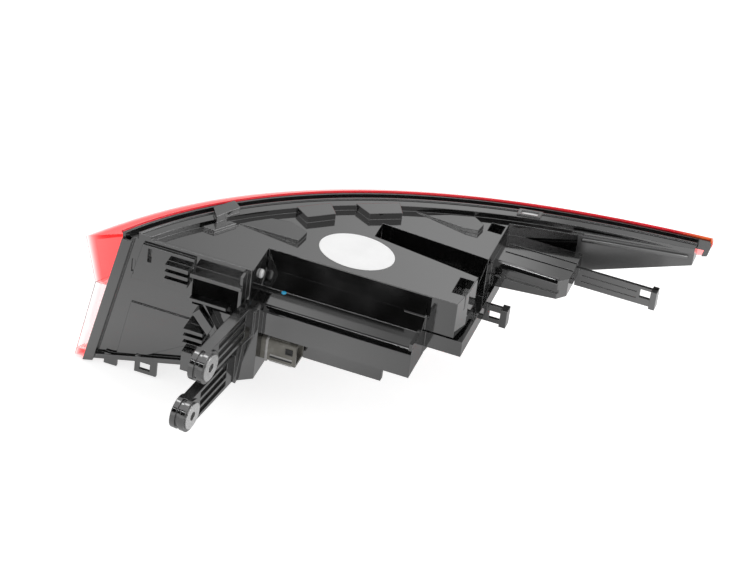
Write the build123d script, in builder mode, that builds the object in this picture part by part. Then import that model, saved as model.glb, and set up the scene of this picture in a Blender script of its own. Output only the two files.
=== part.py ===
import os
from math import cos, radians, sin

from build123d import *

# Left-hand tail lamp, X forward along the car, Y outboard, Z up, in mm. It is drawn about the housing,
# and each piece is moved as it is written so that the origin lies on the upper fixing bolt.

# Lens line, heights and walls
parting_plan = [(-91, 48), (-19, 132), (70, 186), (167, 218), (294, 238)]
top_z = 51.0
lens_height = 124.0
lens_rise = 6.0
tip_height = 14.0
rake = 0.2
wall = 2.5
seal_room = 2.0
fit = 0.2

# Housing plan
panel_y = 52.0
jog_x = 6.5
front_box_y = 85.0
box_end_x = 152.5
box_corner = 6.0
low_end_x = 131.0
low_box_z = 21.0
box_rib_z = (42.5, 43.7)
box_pad_x = (112.0, 127.5)
box_pad_z = (30.0, 43.7)
channel_x = 69.5
channel_near = (134.0, 122.0)
channel_far = (151.5, 146.0)
tail_y = (195.0, 223.0)
housing_tip_x = 285.0

# Ledge, rail and end flange along the lens
ledge_width = 13.0
ledge_rise = 4.5
trench_width = 5.0
rail_width = 1.2
rail_rise = 5.5
end_rim_x = (-90.8, -83.4)
end_rim_y = (46.0, 47.8)
end_rim_web_x = -84.9

# Blocks that stand out of the housing
terrace_z = 23.0
terrace_front_z = 19.0
terrace_lip = 2.5
terrace_y = 58.0
terrace_end_x = 128.0
terrace_base_z = -4.0
slope_z = 34.0
slope_y = 77.0
column_y = 50.0
column_end_x = 16.0
column_outline = [(-8, -14), (2, 22), (16, 22), (16, -40), (4, -46), (-8, -44)]
column_hollows = [((4.2, 13.5), (-37.5, 19.5)), ((-6.5, 5.5), (-37.5, -20))]
skirt_y = 80.0
skirt_x = (42.0, 102.0)
skirt_z = -32.0
shelf_x = (124.0, 156.0)
shelf_y = (88.0, 178.0)
shelf_z = (4.0, 17.0)
side_box_x = 209.0
side_box_y = 158.0
side_box_z = (20.0, 41.0)
side_box_corner = 6.0
side_box_rise = 0.1
side_box_step = (29.5, 33.0)

# Fixing bracket
toe = 7.0
eye_radius = 12.5
eye_thickness = 11.0
eye_groove = (3.0, 1.5)
arm_thickness = 8.0
arm_web = 4.0
arm_flange = 2.5
arm_cells = 3
upper_bolt = (6.0, -20.0, 16.6)
lower_bolt = (-4.2, -20.0, -30.5)
arm_root = (5.4, -13.6)
arm_shoulder = 16.0
bracket_plate = 4.0
bracket_outline = [(-8, -14), (2, 22), (14.5, 22), (14.5, 2), (7, -10), (4, -46), (-8, -44)]
bush_radius = 6.0
bush_bore = 3.4
bush_flange = 10.0
bush_flange_thickness = 1.2
screw_radius = 2.0
screw_head_radius = 3.6
screw_head_height = 2.5

# Lens
lens_wall = 3.0
ridge_out = (26.0, 16.0, 6.0)
ridge_fall = 0.55
kink_out = (9.0, 4.0)
kink_share = 0.42
foot_out = (7.0, 3.0)
foot_band = 8.0

# Light unit
reflector_out = 12.0
reflector_wall = 2.0
bowl_radius = 22.0
bowl_depth = 17.0
bowl_waist = 17.0
bowl_waist_share = 0.6
bowl_lip = 0.5
bowl_floor_radius = 9.0
reversing_place = (0.21, -5.0)
turn_place = (0.38, 3.0)
bezel_z = 29.0
bezel_thickness = 2.0
guide_size = 6.0
board_thickness = 1.6
led_size = 3.0
led_height = 1.5
tail_led_count = 14
sink_thickness = 4.0

# Connector
socket_length = 27.0
socket_width = 18.0
socket_height = 19.0
socket_wall = 2.4
socket_floor = 6.0
socket_centre_y = 69.0
socket_centre_z = -19.0
pin_size = 1.2
pin_length = 10.0

# Label
label_length = 56.0
label_width = 40.0
label_thickness = 0.3
label_place = (64.5, 110.0)

# Small forms on the top wall, as plan corners
rear_wedge = [(-23, 102), (23.5, 99), (25.5, 111), (10.5, 118.5), (-4, 117.5), (-15, 109)]
front_wedge = [(87, 176), (126.5, 170.5), (135.5, 171.5), (137, 180), (128, 187), (105.5, 181)]
wedge_rise = (0.5, 3.5)
ledge_tabs = [[(20, 126), (37, 139.5), (29, 150), (9, 134)], [(59, 151), (80, 163), (74, 174), (46, 158)]]
tab_rise = 5.5
ledge_clip = [(-43, 101), (-37, 92), (-26, 110), (-33, 116)]
ledge_clip_rise = 8.5
step_tab = [(-44, 84), (-35, 83), (-24, 98.6), (-32, 99.7)]
membrane_frame = [(155, 202), (172, 205), (172, 213), (155, 209.5)]
membrane_window = [(157.5, 204), (169.5, 206.2), (169.5, 210.6), (157.5, 208)]
membrane_depth = 1.0
tail_bead = [(197, 205.5), (283, 223), (283, 225), (197, 207.5)]
bead_rise = 1.8
pockets = [((141, 151.5), (96.5, 116.5)), ((140.5, 151), (179, 190))]
pocket_depth = 12.0

# Small forms on the inboard wall, in X and Z
upper_pad_depth = 2.5
panel_pads = [
    ([(-76, 49), (-36, 49), (-36, 17), (-83, 17)], upper_pad_depth),
    ([(-82, -5.5), (-36, -5.5), (-36, -29), (-42, -32.5), (-68, -50), (-90, -55)], 1.2),
    ([(-32, 7), (-27, 12.5), (-16, -1), (-19.5, -8.5)], 9.0),
    ([(-26, 15), (-24, 15.5), (-9, -11), (-11, -12)], 6.0),
]
panel_ribs = [((-56, -38), 27), ((-38, -23), -24)]
ribs_in_clip = 3
rib_pitch = 6.0
rib_thickness = 3.0
rib_depth = 8.5
panel_shelves = [((-36, 3), 42, (39, 42)), ((-36, -8), 45, (16, 18.5)), ((1, 3.2), 44, (24, 51)),
                 ((-36, -28), 38, (-42, -25))]
panel_slots = [((-71.5, -68.5), (35, 47)), ((-84, -81.5), (21, 32))]
slot_depth = 1.0
loop_x = (-75, -58)
loop_window_x = (-71.5, -63)
hook_x = (-99, -89)
lip_x = (-108, -26)
lip_depth = 3.0
lip_height = 4.0

# Snap clips and grooves
clip_thickness = 2.5
clip_bar = 8.0
near_clip_x = (153, 172)
near_clip_y = 150.0
near_clip_z = (-5.0, 10.0)
near_window_x = (158, 167)
near_window_z = (-1.5, 5.0)
far_clip_x = (207, 269)
far_clip_y = 196.0
far_clip_z = (14.5, 30.0)
far_clip_grooves = [19.5, 25.0]
far_window_x = (256, 264.5)
far_window_z = (20.5, 27.8)
side_box_grooves = [174.0, 184.0]
groove = 1.2

# Fixings, seal and other inner pieces
bracket_screw_places = [(8.4, 14.5), (-1.8, -32)]
bracket_screw_end_y = 38.0
boss_radius = 4.6
boss_end_y = 61.0
board_posts = [(80, 94), (126, 94), (80, 114), (126, 114)]
board_z = 37.0
post_radius = 3.5
board_screw_radius = 1.4
board_screw_length = 8.0
cavity_reach = 22.0
seal_width = 7.0
seal_rise = 5.0
seal_end = 0.02
reflector_span = (0.12, 0.81)
reflex_span = (0.14, 0.31)
reflex_thickness = 3.0
reflex_height = 9.0
board_height = 14.0
sink_size = 22.0
sink_fins = 5
component_sizes = [(84, 10, 12, 6), (108, 9, 14, 3), (116, 5, 7, 4)]
capacitor_x = [96, 124]
capacitor_radius = 4.0
capacitor_height = 9.0
pin_pitch = 4.5
pin_columns = 3
pin_rows = 2
pin_place = (71.5, 37.5)
pin_radius = 3.4
pin_stand = 2.0
lens_end_wall = 0.008
lens_tip_wall = 0.04
flat_end = 0.03
ridge_run = 0.12
lens_shares = [0, 0.12, 0.25, 0.4, 0.55, 0.7, 0.85, 1]
clear_shares = [0, 0.12, 0.25, 0.4, 0.55]
clear_reach = (-10.0, 50.0)

shares = [step / 8 for step in range(9)]
lens_top = top_z + lens_rise
lean = Vector(-rake, 0, -1)
rear_foot_x = parting_plan[0][0] - rake * (lens_height - lens_rise)
rear_foot_z = lens_top - lens_height
loop_z = (rear_foot_z + 1.5, rear_foot_z + 16.0)
loop_window_z = (rear_foot_z + 4.5, rear_foot_z + 11.0)
hook_z = (rear_foot_z + 0.5, rear_foot_z + 10.0)
tip_foot_z = lens_top - tip_height
foot_slope = (tip_foot_z - rear_foot_z) / (parting_plan[-1][0] - rear_foot_x)
far = 400.0

with BuildLine() as parting_line:
    Spline(*parting_plan)
parting = parting_line.edges()[0]


def between(pair, share):
    return pair[0] + (pair[1] - pair[0]) * share


def outward(share):
    along = parting.tangent_at(share)
    return Vector(-along.Y, along.X)


def beside(share, out):
    return parting.position_at(share) + outward(share) * out


def foot_plane(lift):
    up = Vector(-foot_slope, 0, 1).normalized()
    return Plane(origin=Vector(rear_foot_x, 0, rear_foot_z) + up * lift, x_dir=(1, 0, foot_slope), z_dir=up)


# Plan strip that follows the lens line between two distances from it
def strip(near, far_side, start, end, height):
    places = [between((start, end), share) for share in shares]
    with BuildSketch(Plane.XY.offset(height)) as plan:
        with BuildLine():
            one_side = Spline(*[beside(place, near) for place in places])
            other_side = Spline(*[beside(place, far_side) for place in places])
            Line(one_side @ 0, other_side @ 0)
            Line(one_side @ 1, other_side @ 1)
        make_face()
    return plan.sketch


# Plan of the lamp chamber, bounded by the lens line and by walls moved in by the inset
def chamber(out, inset, end_x, height):
    with BuildSketch(Plane.XY.offset(height)) as plan:
        with BuildLine():
            lens_line = Spline(*[beside(share, out) for share in shares])
            Polyline(lens_line @ 1, (far, -far), (-far, -far), lens_line @ 0)
        make_face()
        with BuildLine():
            Polyline(
                (-far, panel_y + inset),
                (jog_x - inset, panel_y + inset),
                (jog_x - inset, front_box_y + inset),
                (end_x - inset - box_corner / 2, front_box_y + inset),
                (end_x - inset, front_box_y + inset + 3 * box_corner),
                (end_x - inset, channel_near[1] - inset),
                (channel_x - inset, channel_near[0] - inset),
                (channel_x - inset, channel_far[0] + inset),
                (box_end_x - inset, channel_far[1] + inset),
                (box_end_x - inset, tail_y[0] + inset),
                (housing_tip_x - inset, tail_y[1] + inset),
                (housing_tip_x - inset, far),
                (-far, far),
                close=True,
            )
        make_face(mode=Mode.INTERSECT)
    return plan.sketch


# Everything on the housing's side of the lens line
def housing_side():
    with BuildSketch(Plane.XY.offset(top_z)) as plan:
        with BuildLine():
            lens_line = Spline(*[beside(share, 0) for share in shares])
            Polyline(lens_line @ 1, (far, -far), (-far, -far), lens_line @ 0)
        make_face()
    return plan.sketch


# Band of the top wall along the lens line, between two distances from the seal
def lens_band(near, width):
    outer = chamber(-seal_room - near, 0, box_end_x, top_z)
    return outer - chamber(-seal_room - width, 0, box_end_x, top_z)


# Straight and leaning prisms of the chamber plan, cut off along the sloping foot of the lamp
def chamber_solid(out, inset):
    ceiling = top_z - inset
    with BuildPart() as solid:
        extrude(chamber(out, inset, low_end_x, ceiling), amount=-lens_height)
        extrude(chamber(out, inset, low_end_x, ceiling), amount=lens_height * lean.length, dir=lean)
        extrude(chamber(out, inset, box_end_x, ceiling), amount=low_box_z + inset - ceiling)
        split(bisect_by=foot_plane(inset), keep=Keep.TOP)
    return solid.part


def block(x, y, z, mode=Mode.ADD):
    with Locations((x[0], y[0], z[0])):
        Box(x[1] - x[0], y[1] - y[0], z[1] - z[0], align=(Align.MIN, Align.MIN, Align.MIN), mode=mode)


# Front terrace: gently falling step with a steep slope above it, drawn across the car and run along it
def terrace(inset):
    with BuildPart() as solid:
        with BuildSketch(Plane.YZ.offset(jog_x + inset)):
            with BuildLine():
                Polyline(
                    (terrace_y + inset, terrace_base_z + inset),
                    (terrace_y + inset, terrace_front_z - inset),
                    (slope_y + inset, terrace_z - inset),
                    (front_box_y + inset, slope_z - inset),
                    (front_box_y + 2 * wall, slope_z - inset),
                    (front_box_y + 2 * wall, terrace_base_z + inset),
                    close=True,
                )
            make_face()
        extrude(amount=terrace_end_x - jog_x - 2 * inset)
    return solid.part


# Box beside the tail with a blunt corner and a floor that rises towards the front
def side_box(inset):
    back_y = tail_y[0] + wall + inset
    with BuildPart() as solid:
        with BuildSketch(Plane.XY.offset(side_box_z[1] - inset)):
            with BuildLine():
                Polyline(
                    (box_end_x - wall - inset, side_box_y + inset),
                    (side_box_x - side_box_corner, side_box_y + inset),
                    (side_box_x - inset, side_box_y + side_box_corner),
                    (side_box_x - inset, back_y),
                    (box_end_x - wall - inset, back_y),
                    close=True,
                )
            make_face()
        extrude(amount=side_box_z[0] - side_box_z[1])
        floor_place = (box_end_x, 0, side_box_z[0] + inset)
        split(bisect_by=Plane(origin=floor_place, z_dir=(-side_box_rise, 0, 1)), keep=Keep.TOP)
    return solid.part


# Leaning flange that frames the inboard end of the lens and covers its seal
def end_rim():
    with BuildPart() as solid:
        with BuildSketch(Plane.XY.offset(top_z)):
            with BuildLine():
                Polyline(
                    (end_rim_x[0], end_rim_y[0]),
                    (end_rim_x[1], end_rim_y[0]),
                    (end_rim_x[1], panel_y),
                    (end_rim_web_x, panel_y),
                    (end_rim_web_x, end_rim_y[1]),
                    (end_rim_x[0], end_rim_y[1]),
                    close=True,
                )
            make_face()
        extrude(amount=lens_height * lean.length, dir=lean)
        split(bisect_by=foot_plane(0), keep=Keep.TOP)
    return solid.part


# Lip along the foot of the inboard wall
def foot_lip():
    with BuildPart() as solid:
        block(lip_x, (panel_y - lip_depth, panel_y), (rear_foot_z, 0))
        split(bisect_by=foot_plane(0), keep=Keep.TOP)
        split(bisect_by=foot_plane(lip_height), keep=Keep.BOTTOM)
    return solid.part


# Piece drawn in X and Z and run across the car between two Y values
def upright(outline, y):
    with BuildPart() as solid:
        with BuildSketch(Plane.XZ.offset(-y[1])):
            with BuildLine():
                Polyline(*outline, close=True)
            make_face()
        extrude(amount=y[1] - y[0])
    return solid.part


# Flat raised piece on the top wall, drawn in X and Y
def on_top(outline, base, rise):
    with BuildPart() as solid:
        with BuildSketch(Plane.XY.offset(base)):
            with BuildLine():
                Polyline(*outline, close=True)
            make_face()
        extrude(amount=rise)
    return solid.part


# Thin wedge on the top wall that rises towards the front
def wedge(outline):
    low_x = min(x for x, y in outline)
    run = max(x for x, y in outline) - low_x
    up = Vector(wedge_rise[0] - wedge_rise[1], 0, run).normalized()
    with BuildPart() as solid:
        add(on_top(outline, top_z, 2 * wedge_rise[1]))
        split(bisect_by=Plane(origin=(low_x, 0, top_z + wedge_rise[0]), z_dir=up), keep=Keep.BOTTOM)
    return solid.part


# Snap clip: a plate along X with a window near its end and a cross bar behind the window
def snap_clip(x, y, z, window_x, window_z):
    with BuildPart() as solid:
        block(x, (y - clip_thickness / 2, y + clip_thickness / 2), z)
        block((window_x[1], x[1]), (y - clip_bar / 2, y + clip_bar / 2), z)
        block(window_x, (y - clip_bar, y + clip_bar), window_z, mode=Mode.SUBTRACT)
    return solid.part


# Round pegs and holes across the car, placed in X and Z
def panel_pegs(places, y, radius, mode=Mode.ADD):
    for x, z in places:
        with Locations(Plane((x, y[0], z), z_dir=(0, 1, 0))):
            Cylinder(radius, y[1] - y[0], align=(Align.CENTER, Align.CENTER, Align.MIN), mode=mode)


# Upright round posts and holes, placed in X and Y
def posts(places, z, radius, mode=Mode.ADD):
    for x, y in places:
        with Locations((x, y, z[0])):
            Cylinder(radius, z[1] - z[0], align=(Align.CENTER, Align.CENTER, Align.MIN), mode=mode)


with BuildPart() as cavity:
    add(chamber_solid(cavity_reach, wall))
    add(terrace(wall))
    for hollow_x, hollow_z in column_hollows:
        block(hollow_x, (column_y + wall, front_box_y + 2 * wall), hollow_z)
    add(side_box(wall))
    block((low_end_x, shelf_x[1] - wall), (shelf_y[0] + wall, channel_near[1] + wall),
          (rear_foot_z, shelf_z[1] - wall))
    for pocket_x, pocket_y in pockets:
        block((pocket_x[0] - wall, far), (pocket_y[0] - wall, pocket_y[1] + wall),
              (top_z - pocket_depth - wall, top_z), mode=Mode.SUBTRACT)
    posts(board_posts, (board_z, top_z), post_radius, mode=Mode.SUBTRACT)
    panel_pegs(bracket_screw_places, (column_y, boss_end_y), boss_radius, mode=Mode.SUBTRACT)

with BuildPart() as rear_housing:
    add(chamber_solid(-seal_room, 0))
    add(terrace(0))
    add(upright(column_outline, (column_y, front_box_y)))
    add(side_box(0))
    block(shelf_x, shelf_y, shelf_z)
    add(cavity.part, mode=Mode.SUBTRACT)
    # lip at the terrace's end, rib and pad on the box wall above it
    block((terrace_end_x - wall, terrace_end_x), (terrace_y, slope_y),
          (terrace_base_z, terrace_z + terrace_lip))
    block((jog_x, box_pad_x[1]), (front_box_y - groove, front_box_y), box_rib_z)
    block(box_pad_x, (front_box_y - groove, front_box_y), box_pad_z)
    # skirt under the terrace
    block(skirt_x, (skirt_y, skirt_y + wall), (skirt_z, terrace_base_z + wall))
    block((skirt_x[1] - wall, skirt_x[1]), (skirt_y, front_box_y), (skirt_z, terrace_base_z + wall))
    # ledge, rail and the raised pieces along the lens
    extrude(lens_band(trench_width, ledge_width), amount=ledge_rise)
    extrude(lens_band(trench_width, trench_width + rail_width), amount=rail_rise)
    add(wedge(rear_wedge))
    add(wedge(front_wedge))
    for outline in ledge_tabs:
        add(on_top(outline, top_z, tab_rise))
    add(on_top(ledge_clip, top_z, ledge_clip_rise))
    add(on_top(step_tab, top_z, wall))
    add(on_top(membrane_frame, top_z, tab_rise))
    add(on_top(membrane_window, top_z + ledge_rise - membrane_depth, far), mode=Mode.SUBTRACT)
    add(on_top(tail_bead, top_z, bead_rise))
    block((parting_plan[0][0] + ledge_width, jog_x), (panel_y, panel_y + wall), (top_z, top_z + bead_rise))
    # inboard wall
    add(end_rim())
    add(foot_lip())
    for outline, depth in panel_pads:
        add(upright(outline, (panel_y - depth, panel_y)))
    for rib_x, rib_z in panel_ribs:
        for step in range(ribs_in_clip):
            low = rib_z + step * rib_pitch
            block(rib_x, (panel_y - rib_depth, panel_y), (low, low + rib_thickness))
    for rib_x, rib_y, rib_z in panel_shelves:
        block(rib_x, (rib_y, panel_y), rib_z)
    for slot_x, slot_z in panel_slots:
        block(slot_x, (panel_y - upper_pad_depth, panel_y + slot_depth), slot_z, mode=Mode.SUBTRACT)
    # loop and hooks under the inboard wall
    block(loop_x, (panel_y - wall, panel_y), loop_z)
    block(loop_window_x, (panel_y - 2 * wall, panel_y + wall), loop_window_z, mode=Mode.SUBTRACT)
    block(hook_x, (panel_y - wall, panel_y), hook_z)
    # clips towards the front
    add(snap_clip(near_clip_x, near_clip_y, near_clip_z, near_window_x, near_window_z))
    add(snap_clip(far_clip_x, far_clip_y, far_clip_z, far_window_x, far_window_z))
    for groove_z in far_clip_grooves:
        block((side_box_x + wall, far_window_x[0] - wall),
              (far_clip_y - clip_thickness, far_clip_y - clip_thickness / 4),
              (groove_z - groove / 2, groove_z + groove / 2), mode=Mode.SUBTRACT)
    for groove_y in side_box_grooves:
        block((box_end_x + 2 * wall, side_box_x), (groove_y, groove_y + groove),
              (side_box_z[1] - groove, top_z), mode=Mode.SUBTRACT)
    block((box_end_x, far), (side_box_y - wall, side_box_y + groove), side_box_step, mode=Mode.SUBTRACT)
    # pockets in the top wall and screw holes
    for pocket_x, pocket_y in pockets:
        block(pocket_x, pocket_y, (top_z - pocket_depth, top_z + far), mode=Mode.SUBTRACT)
    panel_pegs(bracket_screw_places, (0, boss_end_y), screw_radius + fit, mode=Mode.SUBTRACT)
    posts(board_posts, (board_z, board_z + board_screw_length), board_screw_radius + fit / 4,
          mode=Mode.SUBTRACT)

upper_plane = Plane(upper_bolt, x_dir=(sin(radians(toe)), cos(radians(toe)), 0),
                    z_dir=(cos(radians(toe)), -sin(radians(toe)), 0))
lower_plane = Plane(lower_bolt, x_dir=upper_plane.x_dir, z_dir=upper_plane.z_dir)


# One arm of the bracket: round eye with a grooved rim, bar and long hollows on both sides
def arm(plane):
    middle = plane.offset(-eye_thickness / 2)
    length = (column_y - plane.origin.Y) / plane.x_dir.Y + bracket_plate
    start = eye_radius + arm_flange
    end = length - arm_shoulder - bracket_plate
    cell = (2 * eye_radius - arm_flange) / arm_cells
    with BuildPart() as solid:
        with BuildSketch(middle):
            Circle(eye_radius)
        extrude(amount=eye_thickness / 2, both=True)
        with BuildSketch(middle):
            Circle(eye_radius + eye_groove[1])
            Circle(eye_radius - eye_groove[1], mode=Mode.SUBTRACT)
            Rectangle(far, far, align=(Align.MIN, Align.CENTER), mode=Mode.SUBTRACT)
        extrude(amount=eye_groove[0] / 2, both=True, mode=Mode.SUBTRACT)
        with BuildSketch(middle):
            with BuildLine():
                Polyline((0, eye_radius), (length - arm_shoulder, eye_radius), (length, arm_root[0]),
                         (length, arm_root[1]), (0, -eye_radius), close=True)
            make_face()
        extrude(amount=arm_thickness / 2, both=True)
        for side in (1, -1):
            with BuildSketch(middle.offset(side * arm_thickness / 2)):
                for step in range(arm_cells):
                    with Locations((start, eye_radius - arm_flange - step * cell)):
                        Rectangle(end - start, cell - arm_flange, align=(Align.MIN, Align.MAX))
            extrude(amount=-side * (arm_thickness - arm_web) / 2, mode=Mode.SUBTRACT)
        with BuildSketch(middle):
            Circle(bush_radius + fit / 4)
        extrude(amount=eye_thickness, both=True, mode=Mode.SUBTRACT)
    return solid.part


with BuildPart() as fixing_bracket:
    add(arm(upper_plane))
    add(arm(lower_plane))
    add(upright(bracket_outline, (column_y - bracket_plate, column_y)))
    split(bisect_by=Plane.XZ.offset(-column_y), keep=Keep.TOP)
    panel_pegs(bracket_screw_places, (bracket_screw_end_y - wall, column_y), screw_radius + fit / 4,
               mode=Mode.SUBTRACT)


# Steel sleeve with a flange on the forward face of its eye, its mouth on the bolt's own plane
def bush(plane):
    with BuildPart() as solid:
        with BuildSketch(plane):
            Circle(bush_radius)
        extrude(amount=-eye_thickness)
        with BuildSketch(plane):
            Circle(bush_flange)
        extrude(amount=bush_flange_thickness)
        with BuildSketch(plane):
            Circle(bush_bore)
        extrude(amount=far, both=True, mode=Mode.SUBTRACT)
    return solid.part


with BuildPart() as upper_bolt_bush:
    add(bush(upper_plane))

with BuildPart() as lower_bolt_bush:
    add(bush(lower_plane))

with BuildPart() as bracket_screws:
    panel_pegs(bracket_screw_places, (boss_end_y, boss_end_y + screw_head_height), screw_head_radius)
    panel_pegs(bracket_screw_places, (bracket_screw_end_y, boss_end_y), screw_radius)


# Lens: sections across the lens line, each leaning with the rake
# The sharp upper edge stands out most at the inboard end and runs back along the flank
def ridge_at(share):
    if share < ridge_run:
        return between(ridge_out[:2], share / ridge_run)
    return between(ridge_out[1:], (share - ridge_run) / (1 - ridge_run))


def lens_foot(share):
    x = parting.position_at(share).X
    return (rear_foot_z + foot_slope * (x - rake * top_z - rear_foot_x)) / (1 - foot_slope * rake)


def lens_point(share, out, height):
    side = Vector(-1, 0) if share < flat_end else outward(share)
    return parting.position_at(share) + side * out + Vector(-rake * (top_z - height), 0, height)


def lens_section(share, inset):
    height = lens_top - lens_foot(share)
    ridge = ridge_at(share)
    ridge_z = lens_top - ridge_fall * ridge - inset
    kink_z = lens_top - kink_share * height
    edge = -2 * lens_wall
    points = [
        lens_point(share, edge, lens_top - inset),
        lens_point(share, ridge - 1.5 * inset, ridge_z),
        lens_point(share, between(kink_out, share) - inset, kink_z),
        lens_point(share, between(foot_out, share) - inset, lens_foot(share) + inset),
        lens_point(share, edge, lens_foot(share) + inset),
    ]
    return Face(Wire.make_polygon(points))


def clear_section(share):
    height = lens_top - lens_foot(share)
    kink_z = lens_top - kink_share * height
    points = [
        lens_point(share, clear_reach[0], kink_z),
        lens_point(share, clear_reach[1], kink_z),
        lens_point(share, clear_reach[1], lens_foot(share) + foot_band),
        lens_point(share, clear_reach[0], lens_foot(share) + foot_band),
    ]
    return Face(Wire.make_polygon(points))


with BuildPart() as lens_shell:
    loft([lens_section(share, 0) for share in lens_shares])
    extrude(housing_side(), amount=2 * lens_height, dir=lean, mode=Mode.SUBTRACT)
    extrude(housing_side(), amount=2 * lens_rise, mode=Mode.SUBTRACT)
    hollow_shares = [lens_end_wall] + lens_shares[1:-1] + [1 - lens_tip_wall]
    loft([lens_section(share, lens_wall) for share in hollow_shares], mode=Mode.SUBTRACT)

with BuildPart() as clear_zone:
    loft([clear_section(share) for share in clear_shares])

with BuildPart() as red_lens:
    add(lens_shell.part)
    add(clear_zone.part, mode=Mode.SUBTRACT)

with BuildPart() as reversing_lens:
    add(lens_shell.part)
    add(clear_zone.part, mode=Mode.INTERSECT)

# Frame of sealant on the parting face, between the rim of the housing and the lens
with BuildPart() as lens_seal:
    seal_top = strip(fit / 2 - seal_room, -fit / 2, 0, 1, top_z)
    extrude(seal_top, amount=seal_rise)
    extrude(seal_top, amount=lens_height * lean.length, dir=lean)
    extrude(strip(-2 * seal_room, seal_room, seal_end, 1 - seal_end / 2, top_z - seal_width / 2),
            amount=lens_height * lean.length, dir=lean, mode=Mode.SUBTRACT)
    split(bisect_by=foot_plane(0), keep=Keep.TOP)
    split(bisect_by=Plane.XZ.offset(-end_rim_y[1] - fit), keep=Keep.BOTTOM)


# Local frame of a bowl: centre on the reflector's face, Z towards the lens
def bowl_plane(place):
    share, height = place
    centre = beside(share, -reflector_out) + Vector(0, 0, height)
    return Plane(centre, x_dir=parting.tangent_at(share), z_dir=outward(share))


# Bowl with a raised lip and a round opening in its floor, turned about the bowl's own axis
def bowl(place):
    plane = bowl_plane(place)
    floor = -bowl_depth
    with BuildPart() as solid:
        with BuildSketch(Plane(plane.origin, x_dir=plane.x_dir, z_dir=-plane.y_dir)):
            with BuildLine():
                Polyline(
                    (bowl_radius, bowl_lip),
                    (bowl_radius + reflector_wall, bowl_lip),
                    (bowl_waist + reflector_wall, bowl_waist_share * floor),
                    (bowl_floor_radius + reflector_wall, floor - reflector_wall),
                    (bowl_floor_radius - reflector_wall, floor - reflector_wall),
                    (bowl_floor_radius, floor),
                    (bowl_waist, bowl_waist_share * floor),
                    close=True,
                )
            make_face()
        revolve(axis=Axis(plane.origin, plane.z_dir))
    return solid.part


with BuildPart() as reflector:
    extrude(strip(-reflector_out - reflector_wall, -reflector_out, *reflector_span, top_z - wall - fit),
            amount=-lens_height)
    split(bisect_by=foot_plane(wall + fit), keep=Keep.TOP)
    for place in (reversing_place, turn_place):
        with Locations(bowl_plane(place)):
            Cylinder(bowl_radius + reflector_wall / 2, 4 * reflector_wall, mode=Mode.SUBTRACT)
        add(bowl(place))

with BuildPart() as inner_bezel:
    extrude(strip(fit - reflector_out, -fit, *reflector_span, bezel_z), amount=bezel_thickness)

guide_back = led_height + board_thickness + 3 * fit - reflector_out
with BuildPart() as light_guide:
    extrude(strip(guide_back, guide_back + guide_size, *reflector_span, bezel_z + bezel_thickness),
            amount=guide_size)

board_front = fit + board_thickness - reflector_out
with BuildPart() as tail_led_board:
    extrude(strip(fit - reflector_out, board_front, *reflector_span, bezel_z + bezel_thickness),
            amount=board_height)

with BuildPart() as tail_leds:
    for step in range(tail_led_count):
        share = between(reflector_span, (step + 0.5) / tail_led_count)
        led_z = bezel_z + bezel_thickness + guide_size / 2
        with BuildSketch(Plane(beside(share, board_front + fit / 4) + Vector(0, 0, led_z),
                               x_dir=parting.tangent_at(share), z_dir=outward(share))):
            Rectangle(led_size, led_size)
        extrude(amount=led_height)


# Round board behind a bowl, with four lamps in the bowl's floor
def bowl_board(place):
    with BuildPart() as solid:
        with BuildSketch(bowl_plane(place).offset(-bowl_depth - reflector_wall)):
            Circle(bowl_floor_radius + reflector_wall)
        extrude(amount=-board_thickness)
    return solid.part


def bowl_leds(place):
    with BuildPart() as solid:
        with BuildSketch(bowl_plane(place).offset(-bowl_depth - reflector_wall)):
            with GridLocations(1.5 * led_size, 1.5 * led_size, 2, 2):
                Rectangle(led_size, led_size)
        extrude(amount=led_height)
    return solid.part


# Finned plate that cools a bowl's board
def heat_sink(place):
    base = bowl_plane(place).offset(-bowl_depth - reflector_wall - board_thickness - fit / 4)
    with BuildPart() as solid:
        with BuildSketch(base):
            Rectangle(sink_size, sink_size)
        extrude(amount=-sink_thickness)
        with BuildSketch(base.offset(-sink_thickness)):
            with GridLocations(sink_size / sink_fins, 0, sink_fins, 1):
                Rectangle(sink_thickness / 3, sink_size)
        extrude(amount=-2 * sink_thickness)
    return solid.part


with BuildPart() as reversing_led_board:
    add(bowl_board(reversing_place))

with BuildPart() as reversing_leds:
    add(bowl_leds(reversing_place))

with BuildPart() as reversing_heat_sink:
    add(heat_sink(reversing_place))

with BuildPart() as turn_led_board:
    add(bowl_board(turn_place))

with BuildPart() as turn_leds:
    add(bowl_leds(turn_place))

with BuildPart() as turn_heat_sink:
    add(heat_sink(turn_place))

# Prism plate along the foot of the reflector
with BuildPart() as reflex_reflector:
    extrude(strip(3 * fit - reflector_out, 3 * fit + reflex_thickness - reflector_out, *reflex_span, 0),
            amount=-lens_height)
    split(bisect_by=foot_plane(wall + fit), keep=Keep.TOP)
    split(bisect_by=foot_plane(wall + fit + reflex_height), keep=Keep.BOTTOM)

# Circuit board under the lid of the front box, on four posts
board_x = (board_posts[0][0] - 2 * post_radius, board_posts[1][0] + 2 * post_radius)
board_y = (board_posts[0][1] - post_radius, board_posts[2][1] + post_radius)
with BuildPart() as driver_board:
    block(board_x, board_y, (board_z - board_thickness, board_z))
    posts(board_posts, (0, top_z), board_screw_radius + fit, mode=Mode.SUBTRACT)

with BuildPart() as board_screws:
    under = board_z - board_thickness
    posts(board_posts, (under - board_screw_radius, under), 2 * board_screw_radius)
    posts(board_posts, (under, board_z + board_screw_length - fit), board_screw_radius)

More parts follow.
